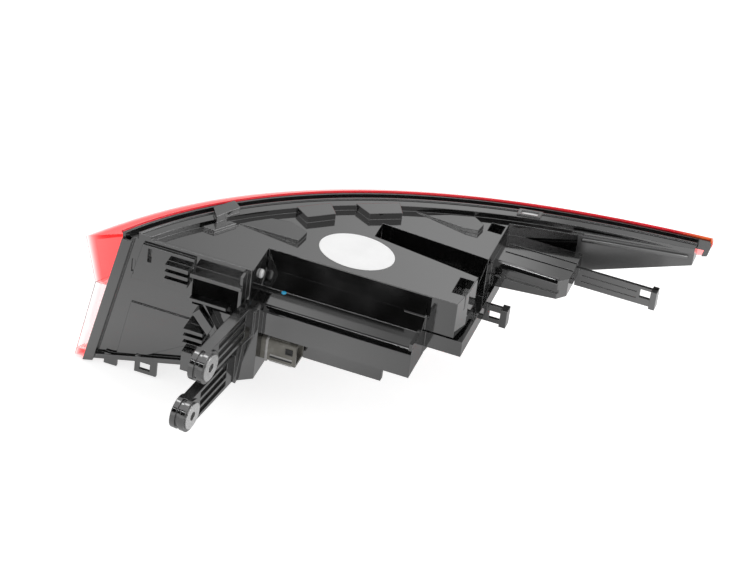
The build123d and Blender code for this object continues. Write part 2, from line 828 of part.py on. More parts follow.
with BuildPart() as driver_components:
    middle_y = (board_y[0] + board_y[1]) / 2
    for x, length, width, height in component_sizes:
        block((x - length / 2, x + length / 2), (middle_y - width / 2, middle_y + width / 2),
              (under - height, under))
    for x in capacitor_x:
        with Locations((x, middle_y, under - capacitor_height)):
            Cylinder(capacitor_radius, capacitor_height, align=(Align.CENTER, Align.CENTER, Align.MIN))

# Plug socket that leaves the column towards the front, under the terrace
socket_plane = Plane((column_end_x, socket_centre_y, socket_centre_z), x_dir=(0, 1, 0), z_dir=(1, 0, 0))
with BuildPart() as connector_socket:
    with BuildSketch(socket_plane):
        RectangleRounded(socket_width, socket_height, socket_wall)
    extrude(amount=socket_length)
    with BuildSketch(socket_plane.offset(socket_floor)):
        RectangleRounded(socket_width - 2 * socket_wall, socket_height - 2 * socket_wall, socket_wall / 2)
    extrude(amount=socket_length, mode=Mode.SUBTRACT)
    with BuildSketch(socket_plane.offset(socket_floor)):
        for side in (1, -1):
            with GridLocations(socket_width / 5, 0, 4, 1):
                with Locations((0, side * socket_height / 2)):
                    Rectangle(socket_wall / 2, socket_wall / 2)
    extrude(amount=socket_length - 2 * socket_floor)
    with BuildSketch(socket_plane):
        with GridLocations(pin_pitch, pin_pitch, pin_columns, pin_rows):
            Rectangle(pin_size + fit, pin_size + fit)
    extrude(amount=socket_floor, mode=Mode.SUBTRACT)

with BuildPart() as connector_pins:
    with BuildSketch(socket_plane.offset(fit)):
        with GridLocations(pin_pitch, pin_pitch, pin_columns, pin_rows):
            Rectangle(pin_size, pin_size)
    extrude(amount=socket_floor + pin_length)

with BuildPart() as oval_label:
    with BuildSketch(Plane.XY.offset(top_z)):
        with Locations(label_place):
            Ellipse(label_length / 2, label_width / 2)
    extrude(amount=label_thickness)

with BuildPart() as breather_membrane:
    add(on_top(membrane_window, top_z + ledge_rise - membrane_depth, membrane_depth / 2))

with BuildPart() as locating_pin:
    with BuildSketch(Plane((jog_x, pin_place[0], pin_place[1]), x_dir=(0, 1, 0), z_dir=(1, 0, 0))):
        Circle(pin_radius)
    extrude(amount=pin_stand)
    chamfer(locating_pin.edges().group_by(Axis.X)[-1], pin_stand / 3)


os.makedirs("parts", exist_ok=True)
to_bolt = Location((-upper_bolt[0], -upper_bolt[1], -upper_bolt[2]))
pieces = {
    "rear_housing": rear_housing,
    "fixing_bracket": fixing_bracket,
    "upper_bolt_bush": upper_bolt_bush,
    "lower_bolt_bush": lower_bolt_bush,
    "bracket_screws": bracket_screws,
    "red_lens": red_lens,
    "reversing_lens": reversing_lens,
    "lens_seal": lens_seal,
    "reflector": reflector,
    "inner_bezel": inner_bezel,
    "light_guide": light_guide,
    "tail_led_board": tail_led_board,
    "tail_leds": tail_leds,
    "reversing_led_board": reversing_led_board,
    "reversing_leds": reversing_leds,
    "reversing_heat_sink": reversing_heat_sink,
    "turn_led_board": turn_led_board,
    "turn_leds": turn_leds,
    "turn_heat_sink": turn_heat_sink,
    "reflex_reflector": reflex_reflector,
    "driver_board": driver_board,
    "driver_components": driver_components,
    "board_screws": board_screws,
    "connector_socket": connector_socket,
    "connector_pins": connector_pins,
    "oval_label": oval_label,
    "breather_membrane": breather_membrane,
    "locating_pin": locating_pin,
}
for name, piece in pieces.items():
    placed = piece.part.moved(to_bolt)
    placed.label = name
    export_step(placed, f"parts/{name}.step")
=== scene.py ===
import math

import bmesh
import bpy
from mathutils import Matrix, Vector


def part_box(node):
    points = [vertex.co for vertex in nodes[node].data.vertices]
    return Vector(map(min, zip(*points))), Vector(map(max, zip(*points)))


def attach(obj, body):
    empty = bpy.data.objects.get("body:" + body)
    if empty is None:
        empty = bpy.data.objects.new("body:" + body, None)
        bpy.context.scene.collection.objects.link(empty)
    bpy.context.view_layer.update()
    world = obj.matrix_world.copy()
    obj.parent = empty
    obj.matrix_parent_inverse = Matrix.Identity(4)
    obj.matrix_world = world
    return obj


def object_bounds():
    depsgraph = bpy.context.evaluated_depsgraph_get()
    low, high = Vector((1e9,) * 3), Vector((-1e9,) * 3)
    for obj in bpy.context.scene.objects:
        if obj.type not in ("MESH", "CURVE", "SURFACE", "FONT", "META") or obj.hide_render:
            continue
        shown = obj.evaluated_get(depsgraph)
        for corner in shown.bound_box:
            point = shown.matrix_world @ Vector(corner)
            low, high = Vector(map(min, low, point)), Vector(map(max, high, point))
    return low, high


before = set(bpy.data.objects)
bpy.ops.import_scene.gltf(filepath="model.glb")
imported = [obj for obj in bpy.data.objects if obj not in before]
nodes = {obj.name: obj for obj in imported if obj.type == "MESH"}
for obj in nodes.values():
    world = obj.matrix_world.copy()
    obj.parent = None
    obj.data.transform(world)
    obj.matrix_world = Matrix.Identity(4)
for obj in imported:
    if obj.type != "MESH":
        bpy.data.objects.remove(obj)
cadLow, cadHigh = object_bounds()
bpy.ops.object.select_all(action="DESELECT")
scene = bpy.context.scene
scene.view_settings.view_transform = "Standard"
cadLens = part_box("red_lens")
lensTip = cadLens[1][0]
lensTop = cadLens[1][2]
print("frame loaded:", len(nodes), "nodes")


# shader helpers

# the part of a noise's range that nearly all of it lies in
noiseSpan = (0.3, 0.7)
edgeSamples = 6
# the two inputs and the output that a mix node has for each kind of value
mixSockets = {"FLOAT": (2, 3, 0), "VECTOR": (4, 5, 1), "RGBA": (6, 7, 2)}


def startMaterial(name):
    mat = bpy.data.materials.new(name)
    mat.use_nodes = True
    tree = mat.node_tree
    shader = tree.nodes["Principled BSDF"]
    coords = tree.nodes.new("ShaderNodeTexCoord")
    return mat, tree, shader, coords.outputs["Object"]


def addNoise(tree, vector, scale, detail):
    noise = tree.nodes.new("ShaderNodeTexNoise")
    noise.inputs["Scale"].default_value = scale
    noise.inputs["Detail"].default_value = detail
    tree.links.new(vector, noise.inputs["Vector"])
    return noise.outputs["Fac"]


def addRamp(tree, value, stops):
    ramp = tree.nodes.new("ShaderNodeValToRGB")
    ramp.color_ramp.elements[0].position = stops[0][0]
    ramp.color_ramp.elements[0].color = stops[0][1]
    ramp.color_ramp.elements[1].position = stops[-1][0]
    ramp.color_ramp.elements[1].color = stops[-1][1]
    for position, colour in stops[1:-1]:
        ramp.color_ramp.elements.new(position).color = colour
    tree.links.new(value, ramp.inputs["Fac"])
    return ramp.outputs["Color"]


def addShades(tree, noise, look):
    return addRamp(tree, noise, [(noiseSpan[0], look["dark"]), (noiseSpan[1], look["light"])])


def addRange(tree, value, low, high, fromLow=noiseSpan[0], fromHigh=noiseSpan[1]):
    span = tree.nodes.new("ShaderNodeMapRange")
    span.inputs["From Min"].default_value = fromLow
    span.inputs["From Max"].default_value = fromHigh
    span.inputs["To Min"].default_value = low
    span.inputs["To Max"].default_value = high
    tree.links.new(value, span.inputs["Value"])
    return span.outputs["Result"]


def addMath(tree, operation, *values):
    step = tree.nodes.new("ShaderNodeMath")
    step.operation = operation
    for socket, value in zip(step.inputs, values):
        if isinstance(value, float):
            socket.default_value = value
        else:
            tree.links.new(value, socket)
    return step.outputs[0]


def splitPlace(tree, place):
    split = tree.nodes.new("ShaderNodeSeparateXYZ")
    tree.links.new(place, split.inputs["Vector"])
    return split.outputs


def addBump(tree, value, strength, distance, normal):
    bump = tree.nodes.new("ShaderNodeBump")
    bump.inputs["Strength"].default_value = strength
    bump.inputs["Distance"].default_value = distance
    tree.links.new(value, bump.inputs["Height"])
    tree.links.new(normal, bump.inputs["Normal"])
    return bump.outputs["Normal"]


def addRoundEdge(tree, radius):
    bevel = tree.nodes.new("ShaderNodeBevel")
    bevel.samples = edgeSamples
    bevel.inputs["Radius"].default_value = radius
    return bevel.outputs["Normal"]


# 1 inside a box, 0 outside it
def addInside(tree, place, zone):
    axes = splitPlace(tree, place)
    inside = 1.0
    for axis, (low, high) in zip("XYZ", (zone["x"], zone["y"], zone["z"])):
        near = addMath(tree, "COMPARE", axes[axis], (low + high) / 2, (high - low) / 2)
        inside = addMath(tree, "MULTIPLY", near, inside)
    return inside


# what comes in at a socket gives way to another value as the factor goes from 0 to 1
def blendInto(tree, kind, factor, socket, other):
    first, second, result = mixSockets[kind]
    mix = tree.nodes.new("ShaderNodeMix")
    mix.data_type = kind
    tree.links.new(factor, mix.inputs["Factor"])
    tree.links.new(socket.links[0].from_socket, mix.inputs[first])
    mix.inputs[second].default_value = other
    tree.links.new(mix.outputs[result], socket)


def grey(level, warm=0.0):
    return (level * (1 + warm), level, level * (1 - warm), 1)


# moulded plastic: soft shade changes, fine grain, edges rounded by the mould
mouldedLook = dict(patchDetail=4, grainDetail=2, grainDepth=0.0002)


def mouldedPlastic(name, look):
    mat, tree, shader, place = startMaterial(name)
    broad = addNoise(tree, place, look["patchScale"], mouldedLook["patchDetail"])
    fine = addNoise(tree, place, look["grainScale"], mouldedLook["grainDetail"])
    tree.links.new(addShades(tree, broad, look), shader.inputs["Base Color"])
    tree.links.new(addRange(tree, broad, look["smooth"], look["rough"]), shader.inputs["Roughness"])
    rounded = addRoundEdge(tree, look["edge"])
    normal = addBump(tree, fine, look["grain"], mouldedLook["grainDepth"], rounded)
    tree.links.new(normal, shader.inputs["Normal"])
    shader.inputs["IOR"].default_value = look["ior"]
    shader.inputs["Specular IOR Level"].default_value = look["gloss"]
    return mat


# clear plastic: polished, tinted by its depth
clearLook = dict(patchScale=40, patchDetail=3, coatIor=1.5, coatRough=0.03, edge=0.0008)


def clearPlastic(name, look):
    mat, tree, shader, place = startMaterial(name)
    broad = addNoise(tree, place, clearLook["patchScale"], clearLook["patchDetail"])
    tree.links.new(addRange(tree, broad, look["smooth"], look["rough"]), shader.inputs["Roughness"])
    shader.inputs["Base Color"].default_value = look["surface"]
    shader.inputs["Transmission Weight"].default_value = look["transmission"]
    shader.inputs["IOR"].default_value = look["ior"]
    shader.inputs["Coat Weight"].default_value = look["coat"]
    shader.inputs["Coat IOR"].default_value = clearLook["coatIor"]
    shader.inputs["Coat Roughness"].default_value = clearLook["coatRough"]
    tree.links.new(addRoundEdge(tree, clearLook["edge"]), shader.inputs["Normal"])
    soak = tree.nodes.new("ShaderNodeVolumeAbsorption")
    soak.inputs["Color"].default_value = look["depth"]
    soak.inputs["Density"].default_value = look["density"]
    tree.links.new(soak.outputs["Volume"], tree.nodes["Material Output"].inputs["Volume"])
    return mat


# metal: fine lines left by turning, rolling or plating
metalLook = dict(lineDetail=4, lineDepth=0.0001, edge=0.0004)


def plainMetal(name, look):
    mat, tree, shader, place = startMaterial(name)
    scratch = tree.nodes.new("ShaderNodeMapping")
    scratch.inputs["Scale"].default_value = look["stretch"]
    tree.links.new(place, scratch.inputs["Vector"])
    lines = addNoise(tree, scratch.outputs["Vector"], look["lineScale"], metalLook["lineDetail"])
    tree.links.new(addShades(tree, lines, look), shader.inputs["Base Color"])
    tree.links.new(addRange(tree, lines, look["smooth"], look["rough"]), shader.inputs["Roughness"])
    shader.inputs["Metallic"].default_value = 1.0
    rounded = addRoundEdge(tree, metalLook["edge"])
    normal = addBump(tree, lines, look["grain"], metalLook["lineDepth"], rounded)
    tree.links.new(normal, shader.inputs["Normal"])
    return mat


# finishes
finishLooks = {
    "housing": dict(dark=grey(0.004), light=grey(0.007), smooth=0.05, rough=0.12, patchScale=26,
                    grainScale=1400, grain=0.03, edge=0.0007, ior=1.9, gloss=0.9),
    "bracket": dict(dark=grey(0.004), light=grey(0.008), smooth=0.08, rough=0.2, patchScale=60,
                    grainScale=1100, grain=0.06, edge=0.0009, ior=1.85, gloss=0.9),
    "sealant": dict(dark=grey(0.006), light=grey(0.012), smooth=0.12, rough=0.25, patchScale=90,
                    grainScale=700, grain=0.1, edge=0.0005, ior=1.8, gloss=0.9),
    "bezel": dict(dark=grey(0.04), light=grey(0.06), smooth=0.25, rough=0.4, patchScale=50,
                  grainScale=900, grain=0.08, edge=0.0005, ior=1.5, gloss=0.5),
    "socket": dict(dark=(0.2, 0.19, 0.165, 1), light=(0.28, 0.27, 0.24, 1), smooth=0.18, rough=0.32,
                   patchScale=120, grainScale=1500, grain=0.1, edge=0.0006, ior=1.5, gloss=0.5),
    "component": dict(dark=grey(0.015), light=grey(0.03), smooth=0.4, rough=0.6, patchScale=200,
                      grainScale=2000, grain=0.2, edge=0.0003, ior=1.5, gloss=0.5),
    "label": dict(dark=grey(0.9), light=grey(0.95), smooth=0.35, rough=0.5, patchScale=60,
                  grainScale=1800, grain=0.08, edge=0.0002, ior=1.45, gloss=0.5),
    "membrane": dict(dark=grey(0.8), light=grey(0.9), smooth=0.6, rough=0.8, patchScale=400,
                     grainScale=2500, grain=0.3, edge=0.0002, ior=1.4, gloss=0.5),
    "pin": dict(dark=grey(0.78), light=grey(0.86), smooth=0.3, rough=0.45, patchScale=200,
                grainScale=1500, grain=0.08, edge=0.0005, ior=1.5, gloss=0.5),
    "redBead": dict(dark=(0.72, 0.004, 0.014, 1), light=(0.84, 0.007, 0.022, 1), smooth=0.06, rough=0.14,
                    patchScale=60, grainScale=900, grain=0.03, edge=0.0003, ior=1.5, gloss=0.5),
    "bluePaint": dict(dark=(0.01, 0.36, 0.66, 1), light=(0.03, 0.48, 0.8, 1), smooth=0.25, rough=0.4,
                      patchScale=900, grainScale=3000, grain=0.1, edge=0.0002, ior=1.5, gloss=0.5),
    "redLed": dict(dark=(0.55, 0.03, 0.03, 1), light=(0.8, 0.1, 0.08, 1), smooth=0.15, rough=0.3,
                   patchScale=500, grainScale=3000, grain=0.05, edge=0.0003, ior=1.5, gloss=0.5),
    "whiteLed": dict(dark=(0.8, 0.6, 0.1, 1), light=(0.9, 0.75, 0.25, 1), smooth=0.15, rough=0.3,
                     patchScale=500, grainScale=3000, grain=0.05, edge=0.0003, ior=1.5, gloss=0.5),
    "amberLed": dict(dark=(0.8, 0.3, 0.02, 1), light=(0.9, 0.45, 0.06, 1), smooth=0.15, rough=0.3,
                     patchScale=500, grainScale=3000, grain=0.05, edge=0.0003, ior=1.5, gloss=0.5),
    "board": dict(dark=(0.01, 0.07, 0.025, 1), light=(0.02, 0.13, 0.05, 1), smooth=0.3, rough=0.45,
                  patchScale=150, grainScale=900, grain=0.15, edge=0.0002, ior=1.5, gloss=0.5),
}
clearLooks = {
    "redLens": dict(surface=(1, 0.94, 0.93, 1), transmission=1.0, smooth=0.02, rough=0.06, ior=1.13, coat=1.0,
                    depth=(1, 0.06, 0.07, 1), density=330.0),
    "clearLens": dict(surface=(1, 1, 1, 1), transmission=1.0, smooth=0.02, rough=0.05, ior=1.13, coat=1.0,
                      depth=(0.8, 0.2, 0.22, 1), density=62.0),
    "guide": dict(surface=(1, 0.98, 0.98, 1), transmission=0.9, smooth=0.1, rough=0.25, ior=1.49, coat=0.0,
                  depth=(0.95, 0.9, 0.9, 1), density=20.0),
    "reflex": dict(surface=(1, 0.85, 0.85, 1), transmission=0.8, smooth=0.05, rough=0.15, ior=1.49, coat=0.0,
                   depth=(1, 0.03, 0.03, 1), density=500.0),
}
metalLooks = {
    "bush": dict(dark=grey(0.52), light=grey(0.72), smooth=0.22, rough=0.4,
                 stretch=(60, 60, 60), lineScale=12, grain=0.1),
    "screw": dict(dark=grey(0.35), light=grey(0.52), smooth=0.25, rough=0.45,
                  stretch=(40, 40, 40), lineScale=14, grain=0.1),
    "mirrorCoat": dict(dark=grey(0.78), light=grey(0.86), smooth=0.03, rough=0.1,
                       stretch=(1, 1, 1), lineScale=30, grain=0.02),
    "aluminium": dict(dark=grey(0.6), light=grey(0.75), smooth=0.25, rough=0.4,
                      stretch=(4, 4, 80), lineScale=20, grain=0.1),
    "brassPin": dict(dark=(0.6, 0.48, 0.2, 1), light=(0.78, 0.65, 0.35, 1), smooth=0.2, rough=0.35,
                     stretch=(5, 60, 60), lineScale=20, grain=0.08),
}
finishes = {name: mouldedPlastic(name, look) for name, look in finishLooks.items()}
finishes.update({name: clearPlastic(name, look) for name, look in clearLooks.items()})
finishes.update({name: plainMetal(name, look) for name, look in metalLooks.items()})

nodeFinish = {
    "rear_housing": "housing", "fixing_bracket": "bracket", "bracket_screws": "screw",
    "upper_bolt_bush": "bush", "lower_bolt_bush": "bush",
    "red_lens": "redLens", "reversing_lens": "clearLens", "lens_seal": "sealant",
    "reflector": "mirrorCoat", "inner_bezel": "bezel", "light_guide": "guide", "reflex_reflector": "reflex",
    "tail_led_board": "board", "tail_leds": "redLed",
    "reversing_led_board": "board", "reversing_leds": "whiteLed", "reversing_heat_sink": "aluminium",
    "turn_led_board": "board", "turn_leds": "amberLed", "turn_heat_sink": "aluminium",
    "driver_board": "board", "driver_components": "component", "board_screws": "screw",
    "connector_socket": "socket", "connector_pins": "brassPin",
    "oval_label": "label", "breather_membrane": "membrane", "locating_pin": "pin",
}
for nodeName, finish in nodeFinish.items():
    node = nodes[nodeName]
    if not node.material_slots:
        node.data.materials.append(finishes[finish])
    for slot in node.material_slots:
        slot.material = finishes[finish]

# walls of the housing whose shading leans back, so that they stay dark: over the terrace, beside the arms
leaningZones = [
    dict(x=(0.0005, 0.1245), y=(0.1035, 0.1065), z=(0.0172, 0.0335), facing=(0, -0.81, 0.59)),
    dict(x=(-0.042, -0.008), y=(0.071, 0.073), z=(-0.008, 0.021), facing=(0, -0.81, 0.59)),
]
# the tail wall is satin
tailSatin = dict(x=(0.196, 0.284), y=(0.222, 0.2445), z=(0.006, 0.0342), rough=0.42)
tree = finishes["housing"].node_tree
place = tree.nodes["Texture Coordinate"].outputs["Object"]
for zone in leaningZones:
    inside = addInside(tree, place, zone)
    blendInto(tree, "VECTOR", inside, tree.nodes["Bump"].inputs["Normal"], zone["facing"])
inside = addInside(tree, place, tailSatin)
blendInto(tree, "FLOAT", inside, tree.nodes["Principled BSDF"].inputs["Roughness"], tailSatin["rough"])

# the bead turns orange at its far tip
tipLook = dict(colour=(1.0, 0.16, 0.03, 1), fade=(lensTip - 0.028, lensTip - 0.008))
tree = finishes["redBead"].node_tree
axes = splitPlace(tree, tree.nodes["Texture Coordinate"].outputs["Object"])
towardsTip = addRange(tree, axes["X"], 0.0, 1.0, *tipLook["fade"])
blendInto(tree, "RGBA", towardsTip, tree.nodes["Principled BSDF"].inputs["Base Color"], tipLook["colour"])
print("finishes set:", len(finishes))


# modelling helpers

def addBlock(name, low, high):
    bpy.ops.object.select_all(action="DESELECT")
    bpy.ops.mesh.primitive_cube_add(size=1, location=[(a + b) / 2 for a, b in zip(low, high)])
    block = bpy.context.object
    block.name = name
    block.scale = [b - a for a, b in zip(low, high)]
    bpy.ops.object.transform_apply(location=True, rotation=True, scale=True)
    return block


# in edit mode, selects the faces that look along a direction
def pickFaces(piece, direction, least=0.9):
    bpy.ops.mesh.select_mode(type="FACE")
    bpy.ops.mesh.select_all(action="DESELECT")
    mesh = bmesh.from_edit_mesh(piece.data)
    for face in mesh.faces:
        face.select = face.normal.dot(Vector(direction)) > least
    bmesh.update_edit_mesh(piece.data)


def dress(piece, finish, smoothUnder):
    bpy.ops.object.mode_set(mode="OBJECT")
    bpy.ops.object.shade_smooth_by_angle(angle=math.radians(smoothUnder))
    piece.data.materials.append(finish)


# solid red bead along the lens's upper edge, made from that edge of the lens's own mesh
beadLook = dict(reach=0.0045, merge=0.00002, steepUnder=0.2, flatOver=0.7, radius=0.00115, roundness=2,
                shift=(-0.0005, 0.0007, 0.0013), smoothUnder=50)
bpy.ops.object.select_all(action="DESELECT")
lensCopy = bpy.data.objects.new("lensCopy", nodes["red_lens"].data.copy())
scene.collection.objects.link(lensCopy)
bpy.context.view_layer.objects.active = lensCopy
lensCopy.select_set(True)
bpy.ops.object.mode_set(mode="EDIT")
bpy.ops.mesh.select_mode(type="EDGE")
bpy.ops.mesh.select_all(action="SELECT")
bpy.ops.mesh.remove_doubles(threshold=beadLook["merge"])
bpy.ops.mesh.select_all(action="DESELECT")
mesh = bmesh.from_edit_mesh(lensCopy.data)
for edge in mesh.edges:
    high = all(lensTop - corner.co.z < beadLook["reach"] for corner in edge.verts)
    steep = [face for face in edge.link_faces
             if abs(face.normal.z) < beadLook["steepUnder"] and face.normal.y < 0]
    flat = [face for face in edge.link_faces if face.normal.z > beadLook["flatOver"]]
    edge.select = high and len(steep) == 1 and len(flat) == 1
bmesh.update_edit_mesh(lensCopy.data)
bpy.ops.mesh.duplicate()
bpy.ops.mesh.separate(type="SELECTED")
bpy.ops.object.mode_set(mode="OBJECT")
lensBead = [piece for piece in bpy.context.selected_objects if piece is not lensCopy][0]
bpy.data.objects.remove(lensCopy)
bpy.ops.object.select_all(action="DESELECT")
lensBead.name = "lensBead"
lensBead.select_set(True)
bpy.context.view_layer.objects.active = lensBead
bpy.ops.object.convert(target="CURVE")
lensBead = bpy.context.object
lensBead.data.bevel_depth = beadLook["radius"]
lensBead.data.bevel_resolution = beadLook["roundness"]
lensBead.data.use_fill_caps = True
bpy.ops.object.convert(target="MESH")
lensBead = bpy.context.object
bpy.ops.transform.translate(value=beadLook["shift"])
bpy.ops.object.transform_apply(location=True, rotation=True, scale=True)
lensBead.data.materials.clear()
dress(lensBead, finishes["redBead"], beadLook["smoothUnder"])
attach(lensBead, "root")
print("lens bead:", len(lensBead.data.polygons), "faces")

# broad sloped rims along the front edges of the terrace and the side box
rimLooks = {
    "terraceRim": dict(low=(0.0006, 0.0764, -0.0002), high=(0.1222, 0.0808, 0.0046),
                       slopeAt=(0.0006, 0.0776, 0.0026)),
    "sideBoxRim": dict(low=(0.1478, 0.1764, 0.0218), high=(0.1968, 0.1806, 0.026),
                       slopeAt=(0.1478, 0.1776, 0.0246)),
}
rimShape = dict(facing=(0, -0.85, 0.53), soften=0.00025, segments=2, edge=0.0002, smoothUnder=40)
rimFinish = mouldedPlastic("rim", dict(finishLooks["housing"], edge=rimShape["edge"]))
for rimName, look in rimLooks.items():
    rim = addBlock(rimName, look["low"], look["high"])
    bpy.ops.object.mode_set(mode="EDIT")
    bpy.ops.mesh.select_all(action="SELECT")
    bpy.ops.mesh.bisect(plane_co=look["slopeAt"], plane_no=rimShape["facing"], use_fill=True,
                        clear_outer=True)
    bpy.ops.mesh.select_all(action="SELECT")
    bpy.ops.mesh.bevel(offset=rimShape["soften"], segments=rimShape["segments"])
    bpy.ops.mesh.normals_make_consistent(inside=False)
    dress(rim, rimFinish, rimShape["smoothUnder"])
    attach(rim, "root")
print("rims added:", len(rimLooks))

# slim rounded rim along the tail wall, under its top edge
tailLook = dict(start=(0.1995, 0.226, 0.0309), end=(0.2745, 0.2418, 0.0309), radius=0.0017, corners=20,
                tipInset=0.0008, tipReach=0.0008, edge=0.0002, smooth=0.24, rough=0.32, smoothUnder=50)
bpy.ops.object.select_all(action="DESELECT")
tailStart = Vector(tailLook["start"])
tailEnd = Vector(tailLook["end"])
tailRun = tailEnd - tailStart
tailTurn = math.atan2(tailRun.y, tailRun.x)
bpy.ops.mesh.primitive_cylinder_add(vertices=tailLook["corners"], radius=tailLook["radius"],
                                    depth=tailRun.length, location=(tailStart + tailEnd) / 2,
                                    rotation=(0, math.pi / 2, tailTurn))
tailRim = bpy.context.object
tailRim.name = "tailRim"
bpy.ops.object.transform_apply(location=True, rotation=True, scale=True)
bpy.ops.object.mode_set(mode="EDIT")
for outwards in (-tailRun.normalized(), tailRun.normalized()):
    pickFaces(tailRim, outwards)
    bpy.ops.mesh.inset(thickness=tailLook["tipInset"])
    bpy.ops.transform.translate(value=outwards * tailLook["tipReach"])
tailFinish = mouldedPlastic("tailEdge", dict(finishLooks["housing"], edge=tailLook["edge"],
                                             smooth=tailLook["smooth"], rough=tailLook["rough"]))
dress(tailRim, tailFinish, tailLook["smoothUnder"])
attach(tailRim, "root")
print("tail rim added")

# plug socket: a band round its root, and ribs, a dark strip and a latch frame on its near side; band and ribs
# are paler than the socket as a painted highlight, the dark strip is painted shade of a groove
socketLow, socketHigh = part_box("connector_socket")
socketLook = dict(proud=0.0006, sunk=0.0008, soften=0.00018, smoothUnder=40,
                  bandX=(0.0036, 0.0055), bandCorner=0.0024, bandSegments=4,
                  ribX=(0.0075, 0.0245), ribZ=[(0.0016, 0.0028), (0.0066, 0.0078)], ribSegments=2,
                  grooveZ=(0.0046, 0.0062), grooveProud=0.00015,
                  latchX=(0.019, 0.0245), latchZ=(0.0115, 0.0165), latchRim=0.0009, latchDepth=0.0004)
# a paler copy of the socket's finish for the band and ribs: a painted highlight
bandHighlightShades = dict(dark=grey(0.5, 0.02), light=grey(0.6, 0.02))
bandHighlightFinish = mouldedPlastic("socketBand", dict(finishLooks["socket"], **bandHighlightShades))


# a block on the near side of the socket, in edit mode with nothing selected
def startSocketDetail(name, spanX, spanZ, proud):
    piece = addBlock(name,
                     (socketLow[0] + spanX[0], socketLow[1] - proud, socketLow[2] + spanZ[0]),
                     (socketLow[0] + spanX[1], socketLow[1] + socketLook["sunk"], socketLow[2] + spanZ[1]))
    bpy.ops.object.mode_set(mode="EDIT")
    bpy.ops.mesh.select_mode(type="EDGE")
    bpy.ops.mesh.select_all(action="DESELECT")
    return piece


def softenAll(offset, segments):
    bpy.ops.mesh.select_all(action="SELECT")
    bpy.ops.mesh.bevel(offset=offset, segments=segments)


def endSocketDetail(piece, finish):
    dress(piece, finish, socketLook["smoothUnder"])
    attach(piece, "root")


band = addBlock("socketBand",
                (socketLow[0] + socketLook["bandX"][0], socketLow[1] - socketLook["proud"],
                 socketLow[2] - socketLook["proud"]),
                (socketLow[0] + socketLook["bandX"][1], socketHigh[1] + socketLook["proud"],
                 socketHigh[2] + socketLook["proud"]))
bpy.ops.object.mode_set(mode="EDIT")
bpy.ops.mesh.select_mode(type="EDGE")
bpy.ops.mesh.select_all(action="DESELECT")
mesh = bmesh.from_edit_mesh(band.data)
for edge in mesh.edges:
    run = edge.verts[0].co - edge.verts[1].co
    edge.select = abs(run.x) > abs(run.y) + abs(run.z)
bmesh.update_edit_mesh(band.data)
bpy.ops.mesh.bevel(offset=socketLook["bandCorner"], segments=socketLook["bandSegments"])
softenAll(socketLook["soften"], 1)
endSocketDetail(band, bandHighlightFinish)

for number, ribZ in enumerate(socketLook["ribZ"], 1):
    rib = startSocketDetail("socketRib" + str(number), socketLook["ribX"], ribZ, socketLook["proud"])
    softenAll(socketLook["soften"], socketLook["ribSegments"])
    endSocketDetail(rib, bandHighlightFinish)

# a flat dark strip standing a little proud of the socket: painted shade in place of a groove's recess
grooveShadeStrip = startSocketDetail("socketGrooveShade", socketLook["ribX"], socketLook["grooveZ"],
                           socketLook["grooveProud"])
softenAll(socketLook["grooveProud"] / 2, 1)
endSocketDetail(grooveShadeStrip, finishes["component"])

latch = startSocketDetail("socketLatch", socketLook["latchX"], socketLook["latchZ"], socketLook["proud"])
pickFaces(latch, (0, -1, 0))
bpy.ops.mesh.inset(thickness=socketLook["latchRim"])
bpy.ops.mesh.extrude_region_move(TRANSFORM_OT_translate={"value": (0, socketLook["latchDepth"], 0)})
endSocketDetail(latch, finishes["component"])
print("socket details added")

# small drop of blue paint on the terrace
dotLook = dict(place=(0.018, 0.0963, 0.00622), tilt=math.atan2(4, 19), radius=0.0018, corners=32,
               height=0.0005, rim=0.0007, smoothUnder=60)
bpy.ops.object.select_all(action="DESELECT")
bpy.ops.mesh.primitive_cylinder_add(vertices=dotLook["corners"], radius=dotLook["radius"],
                                    depth=dotLook["height"], location=dotLook["place"],
                                    rotation=(dotLook["tilt"], 0, 0))
paintDot = bpy.context.object
paintDot.name = "paintDot"
bpy.ops.object.transform_apply(location=True, rotation=True, scale=True)
bpy.ops.object.mode_set(mode="EDIT")
pickFaces(paintDot, (0, 0, 1))
bpy.ops.mesh.inset(thickness=dotLook["rim"])
bpy.ops.transform.translate(value=(0, 0, dotLook["height"] / 2))
dress(paintDot, finishes["bluePaint"], dotLook["smoothUnder"])
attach(paintDot, "root")
print("paint dot added")


# floor, world and lamps

def dullMaterial(name, colour, rough):
    mat, tree, shader, place = startMaterial(name)
    shader.inputs["Base Color"].default_value = colour
    shader.inputs["Roughness"].default_value = rough
    shader.inputs["Specular IOR Level"].default_value = 0.0
    return mat, tree, shader, place


# white floor, dimmer in reflections towards the camera and in a band across its middle
floorLook = dict(size=8.0, centre=(0.06, 0.1), drop=0.001, colour=grey(0.6), rough=0.9, lift=0.74,
                 mirrorLift=(0.18, 0.4), mirrorFade=(-0.07, 0.02), shareFade=(0.04, 0.24),
                 shareSteps=[(0.0, 1.0), (0.4, 0.15), (0.65, 0.15), (0.95, 1.0)])
bpy.ops.object.select_all(action="DESELECT")
bpy.ops.mesh.primitive_plane_add(size=floorLook["size"],
                                 location=(*floorLook["centre"], cadLow[2] - floorLook["drop"]))
floor = bpy.context.object
floor.name = "floor"
bpy.ops.object.transform_apply(location=True, rotation=False, scale=False)
floorMat, tree, shader, place = dullMaterial("floorWhite", floorLook["colour"], floorLook["rough"])
path = tree.nodes.new("ShaderNodeLightPath")
seen = addMath(tree, "MAXIMUM", path.outputs["Is Camera Ray"], path.outputs["Is Transmission Ray"])
lift = addMath(tree, "MULTIPLY", seen, floorLook["lift"])
axes = splitPlace(tree, place)
farther = addRange(tree, axes["Y"], *floorLook["mirrorLift"], *floorLook["mirrorFade"])
along = addRange(tree, axes["X"], 0.0, 1.0, *floorLook["shareFade"])
